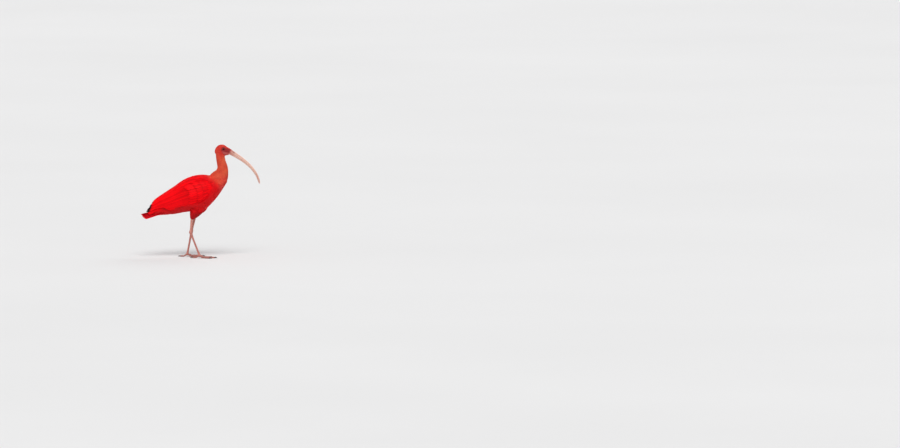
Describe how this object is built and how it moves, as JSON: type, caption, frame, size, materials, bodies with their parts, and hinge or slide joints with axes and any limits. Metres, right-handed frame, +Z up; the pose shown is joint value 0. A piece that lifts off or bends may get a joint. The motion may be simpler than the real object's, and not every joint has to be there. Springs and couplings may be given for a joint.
{
  "type": "scarlet ibis",
  "caption": "Life-size adult scarlet ibis standing on both feet, wings folded, long bill curved down and forward, still display model.",
  "frame": {"origin": "on the ground, under the middle of the bird's bounding box", "axes": "+X forward, the way the bill points, +Y the bird's left, +Z up"},
  "size_m": [0.3919, 0.1144, 0.3736],
  "materials": {
    "body_feathers": "soft scarlet feathers, matt with a faint sheen",
    "wing_feathers": "firm scarlet vanes, satin, the outer wing tips black",
    "neck_feathers": "short velvety orange-red feathers, matt",
    "thigh_feathers": "soft loose scarlet feathers, matt",
    "bill": "pale pinkish horn, satin, darker towards the tip",
    "leg_skin": "dull pink scaled skin",
    "claw": "dark brown horn, satin",
    "eye": "wet, glossy dark brown"
  },
  "bodies": {
    "root": {"head": "neck_feathers", "upper_bill": "bill", "lower_bill": "bill", "eye_left": "eye", "eye_right": "eye", "neck_upper": "neck_feathers", "neck_lower": "neck_feathers", "torso": "body_feathers", "wing_left": "wing_feathers", "wing_right": "wing_feathers", "tail": "wing_feathers", "thigh_left": "thigh_feathers", "thigh_right": "thigh_feathers", "shin_left": "leg_skin", "shin_right": "leg_skin", "tarsus_left": "leg_skin", "tarsus_right": "leg_skin", "foot_left": "leg_skin", "foot_right": "leg_skin", "claw_inner_left": "claw", "claw_middle_left": "claw", "claw_outer_left": "claw", "claw_hind_left": "claw", "claw_inner_right": "claw", "claw_middle_right": "claw", "claw_outer_right": "claw", "claw_hind_right": "claw"}
  },
  "joints": []
}
